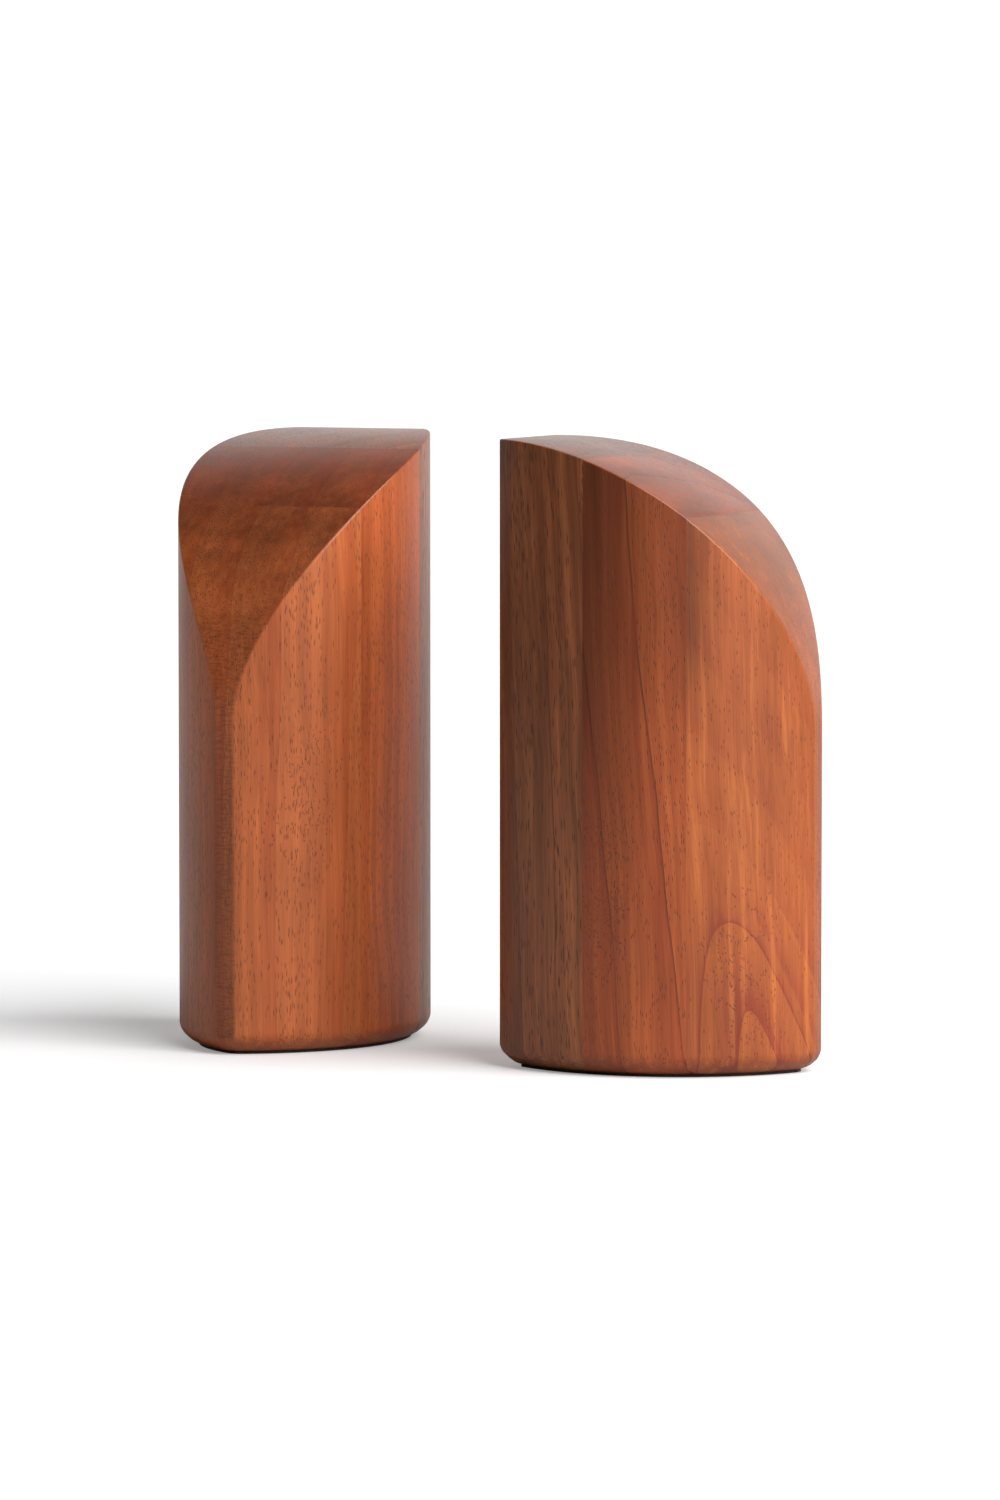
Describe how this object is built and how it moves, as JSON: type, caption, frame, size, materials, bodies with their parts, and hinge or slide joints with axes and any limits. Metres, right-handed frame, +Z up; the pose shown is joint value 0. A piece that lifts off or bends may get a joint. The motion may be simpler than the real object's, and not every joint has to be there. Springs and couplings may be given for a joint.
{
  "type": "book ends",
  "caption": "Pair of leaf-shaped solid-wood book ends, flat where they meet the books, with a top that sweeps down to a narrow nose, weighted with steel and padded below.",
  "frame": {"origin": "middle of the pair's outline on the shelf, at the height of the surface that the pads rest on", "axes": "+Z up; +X along the shelf, from the left book end to the right one; -Y towards a person in front of the shelf"},
  "size_m": [0.1964, 0.1576, 0.19],
  "materials": {
    "rear_board_wood": "satin lacquer, brown-red, fine straight grain with dark pores",
    "middle_board_wood": "satin lacquer, red-brown, wavy grain with dark pores",
    "nose_board_wood": "satin lacquer, orange-red, arched flat-sawn grain",
    "ballast_steel": "bare drawn bar",
    "plate_steel": "bare rolled sheet",
    "screw_steel": "yellow zinc",
    "pad_felt": "thin dark brown felt"
  },
  "bodies": {
    "left_bookend": {"left_rear_board": "rear_board_wood", "left_middle_board": "middle_board_wood", "left_nose_board": "nose_board_wood", "left_ballast_bars": "ballast_steel", "left_base_plate": "plate_steel", "left_plate_screws": "screw_steel", "left_base_pad": "pad_felt"},
    "right_bookend": {"right_rear_board": "rear_board_wood", "right_middle_board": "middle_board_wood", "right_nose_board": "nose_board_wood", "right_ballast_bars": "ballast_steel", "right_base_plate": "plate_steel", "right_plate_screws": "screw_steel", "right_base_pad": "pad_felt"}
  },
  "joints": [
    {"name": "shelf_slide", "type": "slide", "parent": "left_bookend", "child": "right_bookend", "axis": [1, 0, 0], "range_m": [-0.015, 0.3]}
  ]
}
